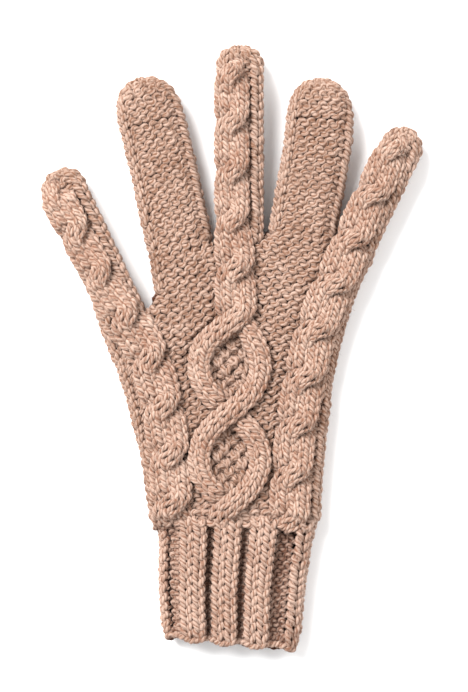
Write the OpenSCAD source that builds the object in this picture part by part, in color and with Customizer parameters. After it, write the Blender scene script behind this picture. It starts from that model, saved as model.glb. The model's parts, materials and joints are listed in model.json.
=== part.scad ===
// Cable-knit full-finger glove for a right hand, lying on its palm.
// +X points to the little finger, +Y to the fingertips and +Z out of the back of the hand.
// The origin is on the resting plane, under the middle of the palm.

/* [Fabric] */
// Thickness of the glove over its two fabric layers, without the cables
glove_h = 13; // [11:0.5:16]
// Thickness of one layer of the knitted fabric
fabric = 3.2; // [2:0.2:3.6]
// Height of a cable above the back of the glove
cable_h = 3.4; // [2:0.2:4]
// Width of one cable strand, two stitches wide
strand_w = 7.2; // [6:0.2:7.4]
// Length of a cable between two crossings, six rows of knitting
twist_pitch = 19.6; // [18:0.2:21]

/* [Cuff] */
// Width of the ribbed cuff
cuff_w = 60; // [58:0.5:62]
// Length from the wrist fold to the cast-on edge
cuff_len = 44.6; // [35:0.2:55]
// Number of knit ribs round the cuff
rib_count = 9; // [7:1:11]
// Depth of the purl gutters between the ribs
rib_depth = 1.7; // [1:0.1:1.8]
// Length of the cast-on edge along the cuff
edge_len = 2; // [1.5:0.1:3]

/* [Digits] */
// Thumb width and length from its crotch
thumb = [19.2, 65.3]; // [18:0.1:80]
// Index finger width and length
index = [25.6, 69.6]; // [18:0.1:80]
// Middle finger width and length
middle = [20, 78]; // [18:0.1:80]
// Ring finger width and length
ring = [26, 64]; // [18:0.1:80]
// Little finger width and length
little = [17.8, 50.5]; // [17:0.1:80]

/* [Bends] */
// How far a digit bends towards the palm at each joint, in degrees
bend_in = 70; // [40:5:70]
// How far a digit bends back at each joint, in degrees
bend_back = 15; // [5:1:20]
// How far the cuff folds either way at the wrist, in degrees
wrist_bend = 40; // [20:5:45]
// Height of the digits' bending axes above the resting plane
bend_axis_z = 4.5; // [4:0.1:6.5]

/* [Hidden] */

// Columns of the table of digits
ROOT = 0;        // middle of the digit at the level of its crotch
LEAN_BASE = 1;   // angle of the lower part, positive towards the little finger
LEAN_TIP = 2;    // angle of the part beyond the middle joint
SIZE = 3;        // width and length
KNUCKLE = 4;     // distance from the root to the first bending axis
JOINT = 5;       // distance from the root to the middle bending axis
ROUNDING = 6;    // radius of the two corners of the tip

THUMB = [[-44.2, 39.6], -25.3, -25.3, thumb, 9, 35, 9];
INDEX = [[-21.9, 68], -12.5, -14, index, 10, 38, 12.5];
MIDDLE = [[2.4, 70.5], 0, 0, middle, 10, 42, 8.5];
RING = [[26.9, 72], 10, 5, ring, 10, 36, 12.5];
LITTLE = [[49.1, 69.6], 25.6, 25.6, little, 8.5, 28.5, 8];

wrist_y = -47;             // the wrist's bending axis
hand_y = -40;              // where the welt ends and the back of the hand begins
half_h = glove_h / 2;
far = 200;                 // longer than any part
slit = 0.3;                // clearance on each side of a bending axis
round_steps = [0, 30, 60, 90];
corner_step = 22.5;
yarn = [0.72, 0.55, 0.46];
yarn_light = [0.80, 0.64, 0.55];
yarn_dark = [0.62, 0.46, 0.38];

// A convex outline swollen into a body of the glove's thickness with round sides, less a margin all over
module puff(margin = 0) {
    r = half_h - margin;
    hull()
        for (a = round_steps, side = [-1, 1])
            translate([0, 0, half_h + side * (r * sin(a) - 0.005) - 0.005])
                linear_extrude(0.01)
                    offset(delta = -margin - r * (1 - cos(a)))
                        children();
}

module back_half() {
    intersection() {
        children();
        translate([-far, -far, half_h])
            cube([2 * far, 2 * far, far]);
    }
}

module palm_half() {
    intersection() {
        children();
        translate([-far, -far, half_h - far])
            cube([2 * far, 2 * far, far]);
    }
}

module from_y(y) {
    intersection() {
        children();
        translate([-far, y, -far])
            cube(2 * far);
    }
}

module to_y(y) {
    intersection() {
        children();
        translate([-far, y - 2 * far, -far])
            cube(2 * far);
    }
}

// The wedges of space that a bend needs on its palm side and its back side, with the axis along X at y = 0
module bend_notch(axis_z, palm_angle, back_angle) {
    below = axis_z + 1;
    above = glove_h + cable_h + 1 - axis_z;
    rotate([90, 0, 90])
        translate([0, 0, -far / 2])
            linear_extrude(far)
                polygon([
                    [-slit - below * tan(palm_angle), axis_z - below],
                    [slit + below * tan(palm_angle), axis_z - below],
                    [slit, axis_z],
                    [slit + above * tan(back_angle), axis_z + above],
                    [-slit - above * tan(back_angle), axis_z + above],
                    [-slit, axis_z]
                ]);
}

module digit_notch(width) {
    intersection() {
        bend_notch(bend_axis_z, bend_in / 2, bend_back / 2);
        cube([width, far, far], center = true);
    }
}

// A digit's two frames: X across it, Y along it
module at_root(digit) {
    translate([digit[ROOT][0], digit[ROOT][1], 0])
        rotate(-digit[LEAN_BASE])
            children();
}

module at_joint(digit) {
    at_root(digit)
        translate([0, digit[JOINT], 0])
            rotate(digit[LEAN_BASE] - digit[LEAN_TIP])
                children();
}

// Plan of a digit from y0 to its rounded end at y1
module digit_plan(w, y0, y1, r) {
    polygon([
        [-w / 2, y0],
        [w / 2, y0],
        for (a = [0 : corner_step : 90]) [w / 2 - r + r * cos(a), y1 - r + r * sin(a)],
        for (a = [90 : corner_step : 180]) [r - w / 2 + r * cos(a), y1 - r + r * sin(a)]
    ]);
}

module digit_strip(w, y0, y1) {
    polygon([[-w / 2, y0], [w / 2, y0], [w / 2, y1], [-w / 2, y1]]);
}

// Both layers of the fabric of a digit between its two joints
module digit_base(digit) {
    w = digit[SIZE][0];
    intersection() {
        at_root(digit)
            from_y(digit[KNUCKLE])
                difference() {
                    puff() digit_strip(w, digit[KNUCKLE] - glove_h, digit[JOINT] + glove_h);
                    puff(fabric) digit_strip(w, digit[KNUCKLE] - far / 4, digit[JOINT] + far / 4);
                }
        at_joint(digit)
            translate([-far, -2 * far, -far])
                cube(2 * far);
    }
}

module digit_tip(digit) {
    w = digit[SIZE][0];
    len = digit[SIZE][1] - digit[JOINT];
    at_joint(digit)
        from_y(0)
            difference() {
                puff() digit_plan(w, -glove_h, len, digit[ROUNDING]);
                puff(fabric) digit_plan(w, -far / 4, len, digit[ROUNDING]);
            }
}

module cut_knuckle(digit) {
    difference() {
        children();
        at_root(digit)
            translate([0, digit[KNUCKLE], 0])
                digit_notch(digit[SIZE][0] + 8);
    }
}

module cut_joint(digit) {
    difference() {
        children();
        at_joint(digit)
            digit_notch(digit[SIZE][0] + 8);
    }
}

module base_back(digit) {
    color(yarn)
        cut_knuckle(digit) cut_joint(digit) back_half() digit_base(digit);
}

module base_palm(digit) {
    color(yarn_dark)
        cut_knuckle(digit) cut_joint(digit) palm_half() digit_base(digit);
}

module tip_back(digit) {
    color(yarn)
        cut_joint(digit) back_half() digit_tip(digit);
}

module tip_palm(digit) {
    color(yarn_dark)
        cut_joint(digit) palm_half() digit_tip(digit);
}

// The hand, in three convex blocks that overlap by more than the roundness of their sides
module lower_plan() {
    polygon([[-33, -66], [34, -66], [34.4, -38], [38.4, 0], [39.3, 8], [-43.5, 8], [-41.2, 0], [-33.2, -38]]);
}

module middle_plan() {
    polygon([[-39, -8], [37, -8], [44.8, 35], [46.3, 42], [-50, 42], [-52.9, 35.5]]);
}

module knuckle_plan() {
    polygon([
        [-34.4, 26], [42, 26], [57, 65.8], [41, 73.4], [13.6, 73.4], [-8.6, 70], [-34.4, 65]
    ]);
}

// Everything on the hand side of the knuckles, swollen, less a margin. Each digit starts as a short stub.
module hand_body(margin = 0) {
    puff(margin) lower_plan();
    puff(margin) middle_plan();
    puff(margin) knuckle_plan();
    for (digit = [THUMB, INDEX, MIDDLE, RING, LITTLE])
        at_root(digit)
            puff(margin) digit_strip(digit[SIZE][0], -18, digit[KNUCKLE] + 9 + 2 * margin);
}

module knuckle_cuts() {
    for (digit = [THUMB, INDEX, MIDDLE, RING, LITTLE])
        at_root(digit) {
            translate([0, digit[KNUCKLE], 0])
                digit_notch(digit[SIZE][0] + 1);
            translate([-(digit[SIZE][0] + 1) / 2, digit[KNUCKLE], -1])
                cube([digit[SIZE][0] + 1, 40, glove_h + cable_h + 2]);
        }
}

module hand_fabric() {
    difference() {
        from_y(hand_y) hand_body();
        hand_body(fabric);
        knuckle_cuts();
    }
}

module hand_back() {
    color(yarn_light)
        back_half() hand_fabric();
}

module hand_palm() {
    color(yarn_dark)
        palm_half() hand_fabric();
}

// The first rows above the ribbing, a ridge all round the wrist
module wrist_welt() {
    color(yarn_light)
        difference() {
            to_y(hand_y) from_y(wrist_y) hand_body();
            hand_body(fabric);
            translate([0, wrist_y, 0])
                bend_notch(half_h, wrist_bend / 2, wrist_bend / 2);
        }
}

// A point of the cuff's section, a share of the way round the outside and sunk into it
side_len = cuff_w - glove_h;
round_len = PI * half_h;
cuff_girth = 2 * side_len + 2 * round_len;
function on_round(x, a, r) = [x + r * sin(a), half_h + r * cos(a)];
function on_section(d, sink) =
    d < side_len ? [d - side_len / 2, glove_h - sink] :
    d < side_len + round_len ?
        on_round(side_len / 2, (d - side_len) / round_len * 180, half_h - sink) :
    d < 2 * side_len + round_len ? [side_len * 1.5 + round_len - d, sink] :
        on_round(-side_len / 2, 180 + (d - 2 * side_len - round_len) / round_len * 180, half_h - sink);

// A rib has a flat top and steep sides; its gutter is a fifth of the pitch wide
function gutter(t) = rib_depth * max(0, 1 - abs(t - 0.5) / 0.14);
rib_points = [0, 0.18, 0.36, 0.43, 0.5, 0.57, 0.64, 0.82];
rib_phase = 6.3;

module cuff_section() {
    pitch = cuff_girth / rib_count;
    polygon([
        for (i = [0 : rib_count - 1], t = rib_points)
            let (d = (rib_phase + (i + t) * pitch) % cuff_girth)
                on_section(d, gutter(t))
    ]);
}

module smooth_section(sink) {
    polygon([for (d = [0 : cuff_girth / 72 : cuff_girth - 0.1]) on_section(d, sink)]);
}

module along_cuff(y0, y1) {
    translate([-1, y1, 0])
        rotate([90, 0, 0])
            linear_extrude(y1 - y0)
                children();
}

module cuff_ribbing() {
    end_y = wrist_y - cuff_len + edge_len;
    color(yarn)
        difference() {
            along_cuff(end_y, wrist_y)
                difference() {
                    cuff_section();
                    smooth_section(fabric);
                }
            translate([0, wrist_y, 0])
                bend_notch(half_h, wrist_bend / 2, wrist_bend / 2);
        }
}

module cast_on_edge() {
    end_y = wrist_y - cuff_len;
    color(yarn_dark)
        along_cuff(end_y, end_y + edge_len)
            difference() {
                smooth_section(0.4);
                smooth_section(fabric);
            }
}

// The three rope cables, each a list of the places where its strands cross: [x, y, lean]
THUMB_CABLE = [
    [-24, -53, -3], [-24.9, -35.6, -3], [-25.8, -17.6, -6], [-28.3, 1.8, -11], [-32.9, 20.2, -19],
    [-41, 37.2, -28], [-50.4, 54, -29], [-59.8, 71.1, -28.5], [-69, 88.4, -27.5], [-77.8, 105.8, -26]
];
MIDDLE_CABLE = [
    [0.8, 38.8, 0], [0.5, 60.2, 0], [0.3, 79.8, 0], [0.2, 99.4, 0], [0.2, 119, 0], [0.2, 138.6, 0],
    [0.2, 158, 0]
];
LITTLE_CABLE = [
    [20.8, -62.4, 3], [21.8, -43.2, 3], [23, -23.8, 4], [25, -4.4, 8], [28, 15, 12], [32.8, 34.6, 18],
    [40.4, 53.6, 24], [48.9, 71.6, 25.6], [57.4, 89.4, 25.6], [65.9, 107.2, 25.6], [74.4, 125, 25.6]
];

// A point beside a cable's middle line, which runs smoothly from one crossing to the next
function heading(stop) = [sin(stop[2]), cos(stop[2])];
function hermite(p, q, t) =
    let (a = heading(p) * twist_pitch, b = heading(q) * twist_pitch)
        [p[0], p[1]] * (1 + 2 * t) * (1 - t) ^ 2 + a * t * (1 - t) ^ 2
        + [q[0], q[1]] * t ^ 2 * (3 - 2 * t) - b * t ^ 2 * (1 - t);
function along(cable, u) =
    let (i = max(0, min(len(cable) - 2, floor(u))))
        hermite(cable[i], cable[i + 1], u - i);
function beside(cable, u, offset) =
    let (d = along(cable, u + 0.01) - along(cable, u - 0.01))
        along(cable, u) + offset * [d[1], -d[0]] / norm(d);

// A band along a cable from u0 to u1, given the offset of its middle and its width at each share of the way
module cable_band(cable, u0, u1, w, swing) {
    n = 14;
    us = [for (i = [0 : n]) u0 + (u1 - u0) * i / n];
    narrow = [for (i = [0 : n]) sqrt(max(0.12, 1 - (2 * i / n - 1) ^ 8))];
    mids = [for (u = us) swing * max(-1, min(1, 3 * (u - (u0 + u1) / 2)))];
    polygon([
        for (i = [0 : n]) beside(cable, us[i], mids[i] - w / 2 * narrow[i]),
        for (i = [n : -1 : 0]) beside(cable, us[i], mids[i] + w / 2 * narrow[i])
    ]);
}

// One strand's stay on the face of a cable: up the left side, over the crossing, up the right side
module strand(cable, u) {
    stay = 0.9;
    swing = strand_w / 2 + 0.2;
    translate([0, 0, glove_h]) {
        linear_extrude(cable_h * 0.7)
            cable_band(cable, u - stay, u + stay, strand_w, swing);
        linear_extrude(cable_h)
            cable_band(cable, u - stay + 0.05, u + stay - 0.05, strand_w - 2.4, swing);
    }
}

// A cable: the band of fabric that it stands on, and its strands
module cable(stops) {
    last = len(stops) - 1;
    translate([0, 0, glove_h])
        for (i = [0 : last - 1])
            linear_extrude(cable_h * 0.4)
                cable_band(stops, i - 0.02, i + 1.02, 2 * strand_w - 1, 0);
    for (i = [1 : last - 1])
        strand(stops, i);
}

// The part of a cable over the hand, over the lower part of its digit and over the upper part
module cable_hand(stops, digit, y0) {
    color(yarn_light)
        difference() {
            from_y(y0) cable(stops);
            at_root(digit) {
                translate([0, digit[KNUCKLE], 0])
                    digit_notch(digit[SIZE][0] + 8);
                translate([-far / 2, digit[KNUCKLE], 0])
                    cube(far);
            }
        }
}

module cable_base(stops, digit) {
    color(yarn_light)
        cut_knuckle(digit) cut_joint(digit)
            intersection() {
                cable(stops);
                at_root(digit)
                    translate([-far / 2, digit[KNUCKLE], 0])
                        cube([far, digit[JOINT] - digit[KNUCKLE], far]);
            }
}

module cable_tip(stops, digit) {
    color(yarn_light)
        cut_joint(digit)
            intersection() {
                cable(stops);
                at_joint(digit)
                    translate([-far / 2, 0, 0])
                        cube([far, digit[SIZE][1] - digit[JOINT] - 6, far]);
            }
}

// The two strands of the diamonds. Both sway between the crossings, and cross three times.
diamond_x = -1.8;
diamond_sway = 12.3;
diamond_half = 37.6;
diamond_mid_y = 1.2;
function sway(y) = diamond_sway * sin(180 * (y - diamond_mid_y) / diamond_half);

module diamond_band(side, w) {
    n = 40;
    ys = [for (i = [0 : n]) diamond_mid_y - diamond_half + 2 * diamond_half * i / n];
    polygon([
        for (y = ys) [diamond_x + side * sway(y) - w / 2, y],
        for (i = [n : -1 : 0]) [diamond_x + side * sway(ys[i]) + w / 2, ys[i]]
    ]);
}

// Where a strand passes in front: the middle crossing, or the two ends
module crossing_window(middle) {
    reach = 9;
    for (y = middle ? [diamond_mid_y] : [diamond_mid_y - diamond_half, diamond_mid_y + diamond_half])
        translate([-far / 2, y - reach])
            square([far, 2 * reach]);
}

module diamond_strand(side, middle_in_front) {
    color(yarn_light)
        translate([0, 0, glove_h])
            linear_extrude(cable_h)
                difference() {
                    diamond_band(side, strand_w);
                    intersection() {
                        diamond_band(-side, strand_w + 0.6);
                        crossing_window(!middle_in_front);
                    }
                }
}

// Moss stitch inside a diamond, lower than its strands
module moss_panel(y_mid) {
    moss_h = 1.6;
    n = 12;
    ys = [for (i = [0 : n]) y_mid + (diamond_half / 2 - 7) * (2 * i / n - 1)];
    inner = [for (y = ys) max(0.4, abs(sway(y)) - strand_w / 2 - 0.4)];
    color(yarn_dark)
        translate([0, 0, glove_h])
            linear_extrude(moss_h)
                polygon([
                    for (i = [0 : n]) [diamond_x - inner[i], ys[i]],
                    for (i = [n : -1 : 0]) [diamond_x + inner[i], ys[i]]
                ]);
}

hand_back();
hand_palm();
wrist_welt();
cuff_ribbing();
cast_on_edge();
base_back(THUMB);  // thumb_base_back
base_palm(THUMB);  // thumb_base_palm
tip_back(THUMB);  // thumb_tip_back
tip_palm(THUMB);  // thumb_tip_palm
base_back(INDEX);  // index_base_back
base_palm(INDEX);  // index_base_palm
tip_back(INDEX);  // index_tip_back
tip_palm(INDEX);  // index_tip_palm
base_back(MIDDLE);  // middle_base_back
base_palm(MIDDLE);  // middle_base_palm
tip_back(MIDDLE);  // middle_tip_back
tip_palm(MIDDLE);  // middle_tip_palm
base_back(RING);  // ring_base_back
base_palm(RING);  // ring_base_palm
tip_back(RING);  // ring_tip_back
tip_palm(RING);  // ring_tip_palm
base_back(LITTLE);  // little_base_back
base_palm(LITTLE);  // little_base_palm
tip_back(LITTLE);  // little_tip_back
tip_palm(LITTLE);  // little_tip_palm
cable_hand(THUMB_CABLE, THUMB, hand_y);  // thumb_cable_hand
cable_base(THUMB_CABLE, THUMB);  // thumb_cable_base
cable_tip(THUMB_CABLE, THUMB);  // thumb_cable_tip
cable_hand(MIDDLE_CABLE, MIDDLE, 42);  // middle_cable_hand
cable_base(MIDDLE_CABLE, MIDDLE);  // middle_cable_base
cable_tip(MIDDLE_CABLE, MIDDLE);  // middle_cable_tip
cable_hand(LITTLE_CABLE, LITTLE, hand_y);  // little_cable_hand
cable_base(LITTLE_CABLE, LITTLE);  // little_cable_base
cable_tip(LITTLE_CABLE, LITTLE);  // little_cable_tip
diamond_strand(1, true);  // diamond_strand_a
diamond_strand(-1, false);  // diamond_strand_b
moss_panel(diamond_mid_y + diamond_half / 2);  // moss_panel_upper
moss_panel(diamond_mid_y - diamond_half / 2);  // moss_panel_lower
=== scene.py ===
"""The looks of a cable-knit glove: every stitch is a loop of plied yarn, laid over the CAD part."""

import json
import math
from collections import namedtuple

import bpy
import numpy as np
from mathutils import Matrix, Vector


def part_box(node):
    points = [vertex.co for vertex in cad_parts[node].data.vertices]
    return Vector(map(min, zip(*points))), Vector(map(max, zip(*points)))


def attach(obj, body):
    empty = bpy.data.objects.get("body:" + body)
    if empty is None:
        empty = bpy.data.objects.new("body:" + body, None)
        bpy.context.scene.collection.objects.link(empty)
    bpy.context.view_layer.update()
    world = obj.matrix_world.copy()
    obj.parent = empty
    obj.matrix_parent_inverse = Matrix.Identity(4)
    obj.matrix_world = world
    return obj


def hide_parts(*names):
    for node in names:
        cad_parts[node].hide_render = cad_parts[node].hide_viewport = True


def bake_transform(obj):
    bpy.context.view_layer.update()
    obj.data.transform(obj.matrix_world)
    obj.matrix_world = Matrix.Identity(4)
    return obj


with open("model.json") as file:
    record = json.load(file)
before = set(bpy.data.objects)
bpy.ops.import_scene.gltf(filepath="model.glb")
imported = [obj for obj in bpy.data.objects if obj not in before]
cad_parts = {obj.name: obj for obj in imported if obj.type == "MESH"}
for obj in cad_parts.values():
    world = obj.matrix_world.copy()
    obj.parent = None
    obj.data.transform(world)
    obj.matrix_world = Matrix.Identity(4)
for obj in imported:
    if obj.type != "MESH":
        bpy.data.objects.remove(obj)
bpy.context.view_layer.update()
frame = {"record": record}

# ------------ measures, in millimetres
MM = 0.001
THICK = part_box("hand_back")[1][2] / MM  # over both layers of the fabric
MID = THICK / 2
YARN = 1.17  # radius of the yarn
DEPTH = 0.85  # how far a loop swings to either side of its layer
SKIN = DEPTH + YARN * 0.93  # from the layer's middle to its outside
PURL_WAVE, KNIT_WAVE = 0.165, 0.235  # sideways bulge of a loop, in stitches
PURL_DEPTH, KNIT_DEPTH = 1.0, 0.9  # swing of a loop through the layer
LOOP_TALL = 0.80  # half of a loop's height, in rows
ROW = 3.5  # height of a row
HAND_STITCH = 4.6  # width of a stitch on the hand
SAMPLES = 26  # points on each loop
SIDES = 12  # points round the yarn
PLIES = 3
PLY_TURN = 6.6  # length of one turn of the plies
FUZZ = 1.8  # loose fibres for each stitch
FIBRE = 0.03  # radius of a loose fibre
REST_Z = YARN - 0.35  # yarn that lies on the floor is pressed flat against it
END_NARROWS = 0.3  # share of its thickness that a loose end of yarn keeps
TINY = 1e-9  # keeps a division by a length from failing
# tone is each stitch's own colour difference plus a painted highlight on raised stitches; deep is how far the
# yarn lies out of its layer and sets its painted shade: the lower it lies, the darker it is painted
Row = namedtuple("Row", "at line up tone deep closed")
rng = np.random.default_rng(11)


# ------------ paths in plan
STRETCH_STEPS = 48  # points on the stretch between two stops
BEYOND = 80  # how far a path runs straight on past both of its ends
REACH = 0.4  # distance each way over which a path's direction is taken


def heading(degrees):
    """A unit vector in plan, at an angle clockwise from +Y."""
    a = math.radians(degrees)
    return np.array([math.sin(a), math.cos(a)])


class Path:
    """A smooth line in plan through stops of x, y and heading, measured by its length."""

    def __init__(self, stops):
        points = []
        for p, q in zip(stops, stops[1:]):
            chord = math.hypot(q[0] - p[0], q[1] - p[1])
            a, b = heading(p[2]) * chord, heading(q[2]) * chord
            t = np.linspace(0, 1, STRETCH_STEPS, endpoint=False)[:, None]
            points.append(
                np.array(p[:2]) * (1 + 2 * t) * (1 - t) ** 2 + a * t * (1 - t) ** 2
                + np.array(q[:2]) * t ** 2 * (3 - 2 * t) - b * t ** 2 * (1 - t)
            )
        points.append(np.array([stops[-1][:2]], float))
        line = np.concatenate(points)
        before = line[0] - heading(stops[0][2]) * BEYOND
        after = line[-1] + heading(stops[-1][2]) * BEYOND
        self.line = np.concatenate([[before], line, [after]])
        steps = np.hypot(*np.diff(self.line, axis=0).T)
        self.t = np.concatenate([[0], np.cumsum(steps)]) - BEYOND
        self.length = self.t[-2]

    def point(self, t):
        """The point at each distance along."""
        return np.stack([np.interp(t, self.t, self.line[:, k]) for k in (0, 1)], -1)

    def along(self, t):
        """The unit vector along the path."""
        d = self.point(np.asarray(t) + REACH) - self.point(np.asarray(t) - REACH)
        return d / np.linalg.norm(d, axis=-1, keepdims=True)

    def place(self, t, offset):
        """A point offset mm to the right of the line."""
        d = self.along(t)
        return self.point(t) + np.stack([d[..., 1], -d[..., 0]], -1) * np.asarray(offset)[..., None]

    def nearest(self, xy):
        """The distance along at which the path comes nearest to a point."""
        d = np.hypot(self.line[:, 0] - xy[0], self.line[:, 1] - xy[1])
        return self.t[int(np.argmin(d))]

    def x_at(self, y):
        """The x of a path that always climbs, at a given y."""
        return np.interp(y, self.line[:, 1], self.line[:, 0])


def smooth(x, lo, hi):
    """Rises from 0 at lo to 1 at hi, with no corner."""
    t = np.clip((np.asarray(x, float) - lo) / (hi - lo), 0, 1)
    return t * t * (3 - 2 * t)


def joint(name):
    """Place in millimetres and axis of one of the frame's hinges."""
    j = next(j for j in frame["record"]["behaviour"]["joints"] if j["name"] == name)
    return np.array(j["pos_m"]) / MM, np.array(j["axis"])


# ------------ the five strips of the glove
CAP_TURN = 1.53  # how far the fabric turns over a tip, a little short of a quarter turn
CAP_ROWS = 1.45  # how far over the tip a row may still start
CHANGE = 32  # length over which a stitch narrows from the hand to the digit
CLOSES = (-9, 1)  # where the back starts to turn down into the side, and where it is round
NO_LESS = 0.02  # least half width of the flat part of a row
NO_ROUNDER = 0.05  # least radius of its side
PROBE = 0.15  # distance each way over which the surface's slope is taken


class Strip:
    """A digit with the fabric below it, down to the wrist. Its line runs from the wrist to the tip."""

    def __init__(self, name, hand_stops, width, length, knuckle, tip_round, columns):
        self.name = name
        k_pos, k_axis = joint(name + "_knuckle")
        b_pos, b_axis = joint(name + "_bend")
        lean_base = math.degrees(math.atan2(k_axis[1], -k_axis[0]))
        lean_tip = math.degrees(math.atan2(b_axis[1], -b_axis[0]))
        root = k_pos[:2] - heading(lean_base) * knuckle
        bend = float(np.hypot(*(b_pos - k_pos)[:2])) + knuckle
        tip = b_pos[:2] + heading(lean_tip) * (length - bend)
        stops = list(hand_stops) + [
            (*root, lean_base), (*k_pos[:2], lean_base),
            (*b_pos[:2], (lean_base + lean_tip) / 2),
            (*((b_pos[:2] + tip) / 2), lean_tip), (*tip, lean_tip),
        ]
        self.path = Path(stops)
        self.root_t = self.path.nearest(root)
        self.knuckle_t = self.root_t + knuckle
        self.bend_t = self.root_t + bend
        self.tip_t = self.path.length
        self.knuckle = k_pos
        self.half = width / 2 - SKIN
        self.r = MID - SKIN  # radius of the rounded sides
        self.tip_round = tip_round
        self.cap_start = self.tip_t - tip_round
        self.columns = columns
        self.left_width = self.right_width = lambda t: self.half + 0 * t
        self.left_round = self.right_round = self.root_t  # where each side starts to close
        self.pitch = (4 * (self.half - self.r) + 2 * math.pi * self.r) / columns

    def pitch_at(self, q):
        """Width of a stitch: wider on the hand than on the digit."""
        return float(np.interp(q, [self.ring_t - CHANGE, self.ring_t], [HAND_STITCH, self.pitch]))

    def sheet(self, q, offset):
        """A point of the hand's flat layer, in plan."""
        return self.path.place(np.array([q]), np.array([offset]))[0]

    def cap_measures(self):
        """The cap's length along the strip, where it starts, and the arc that the fabric takes over it."""
        reach = self.tip_round - SKIN
        return reach, self.tip_t - SKIN - reach, (reach + self.r) / 2

    def cap(self, q):
        """Distance along, share of width and thickness left, and the cap's length, q mm over the surface."""
        reach, start, arc = self.cap_measures()
        turn = np.clip((q - start) / arc, 0, CAP_TURN)
        t = np.where(q < start, q, start + reach * np.sin(turn))
        return t, np.cos(turn), reach

    def rows_end(self):
        """The distance over the surface at which rows stop."""
        _, start, arc = self.cap_measures()
        return start + arc * CAP_ROWS

    def at(self, q, o, palm=None):
        """The middle of the fabric o mm from the back's middle line, measured over the fabric."""
        q, o = np.broadcast_arrays(np.asarray(q, float), np.asarray(o, float))
        t, left, reach = self.cap(q)
        right = o >= 0
        wide = np.where(right, self.right_width(t), self.left_width(t))
        wide = wide - reach * (1 - left)
        r = self.r * left
        closes = np.where(right, self.right_round, self.left_round)
        shut = smooth(t, closes + CLOSES[0], closes + CLOSES[1])
        # out over the flat back, round the side, and in again over the palm
        out = np.abs(o)
        flat = np.maximum(wide - r, NO_LESS)
        turn = np.clip((out - flat) / np.maximum(r, NO_ROUNDER), 0, math.pi)
        back_in = np.maximum(out - flat - math.pi * r, 0)
        off = np.minimum(out, flat) + r * np.sin(turn) - back_in
        high = r * np.cos(turn)
        # where a side is open, the layer just runs on flat
        off = out + (off - out) * shut
        high = r + (high - r) * shut
        if palm is not None:
            high = np.where(palm, -high, high)
        xy = self.path.place(t, np.where(right, off, -off))
        return np.concatenate([xy, (MID + high)[..., None]], -1)

    def normal(self, q, o, palm=None):
        """The direction out of the fabric."""
        a = self.at(q, o + PROBE, palm) - self.at(q, o - PROBE, palm)
        b = self.at(q + PROBE, o, palm) - self.at(q - PROBE, o, palm)
        n = np.cross(a, b)
        n = n / np.maximum(np.linalg.norm(n, axis=-1, keepdims=True), TINY)
        return n if palm is None else np.where(np.asarray(palm)[..., None], -n, n)

    def half_rings(self, q):
        """Length round the left half and the right half of a row."""
        t, left, reach = self.cap(np.asarray(q, float))
        out = []
        for width in (self.left_width(t), self.right_width(t)):
            r = self.r * left
            flat = np.maximum(width - reach * (1 - left) - r, NO_LESS)
            out.append(2 * flat + math.pi * r)
        return out

    def ring(self, q):
        """The same for one row, as two plain numbers."""
        return [float(length) for length in self.half_rings(q)]


# Stops of the cables: x, y and heading
THUMB_CABLE = [
    (-24, -53, -3), (-24.9, -35.6, -3), (-25.8, -17.6, -6), (-28.3, 1.8, -11), (-32.9, 20.2, -19),
    (-41, 37.2, -28), (-50.4, 54, -29), (-59.8, 71.1, -28.5), (-69, 88.4, -27.5), (-77.8, 105.8, -26),
]
MIDDLE_CABLE = [
    (0.8, 38.8, 0), (0.5, 60.2, 0), (0.3, 79.8, 0), (0.2, 99.4, 0), (0.2, 119, 0), (0.2, 138.6, 0),
    (0.2, 158, 0),
]
LITTLE_CABLE = [
    (20.8, -62.4, 3), (21.8, -43.2, 3), (23, -23.8, 4), (25, -4.4, 8), (28, 15, 12), (32.8, 34.6, 18),
    (40.4, 53.6, 24), (48.9, 71.6, 25.6), (57.4, 89.4, 25.6), (65.9, 107.2, 25.6), (74.4, 125, 25.6),
]
WRIST_Y = -41  # where the strips start
thumb_cable, middle_cable, little_cable = Path(THUMB_CABLE), Path(MIDDLE_CABLE), Path(LITTLE_CABLE)

# Stops of a strip over the hand, then the digit's measures: its length and its knuckle from its root
THUMB = Strip("thumb", [(-24.6, WRIST_Y, -3), (-28.3, 1.8, -11), (-33.6, 20.2, -20)],
              width=19.2, length=65.3, knuckle=9, tip_round=9.4, columns=10)
INDEX = Strip("index", [(-13, WRIST_Y, -2), (-15, 5, -4), (-17.8, 40, -8)],
              width=25.6, length=69.6, knuckle=10, tip_round=12.5, columns=14)
MIDDLE = Strip("middle", [(0, WRIST_Y, 0), (0.8, 20, 1.5)],
               width=20, length=78, knuckle=10, tip_round=8.5, columns=10)
RING = Strip("ring", [(12, WRIST_Y, 2), (14.5, 5, 5), (20.3, 40, 9)],
             width=26, length=64, knuckle=10, tip_round=12.5, columns=14)
LITTLE = Strip("little", [(21.8, WRIST_Y, 3), (25, -4.4, 8), (32.8, 34.6, 18)],
               width=17.8, length=50.5, knuckle=8.5, tip_round=8.8, columns=10)
STRIPS = [THUMB, INDEX, MIDDLE, RING, LITTLE]

# The hand is wider than the digits' own widths along its two outer sides, which are round all the way
ROUND_ALL_THE_WAY = -100
THUMB.left_width = lambda t: np.interp(t, [0, 18, 42, 61, 80, 96], [9.6, 11.2, 13.3, 13.6, 11.9, 9.6]) - SKIN
LITTLE.right_width = lambda t: np.interp(t, [0, 38, 78, 98, 116], [12.8, 12.5, 11.8, 9.8, 8.9]) - SKIN
THUMB.left_round = LITTLE.right_round = ROUND_ALL_THE_WAY
INDEX.left_round = INDEX.path.nearest((-20, 50))
# Where each digit's first closed ring of stitches runs, and whether its back is purl
for strip in STRIPS:
    strip.ring_t = strip.root_t + (1 if strip is THUMB else 1.5)
    strip.purl_back = strip in (INDEX, RING)

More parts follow.
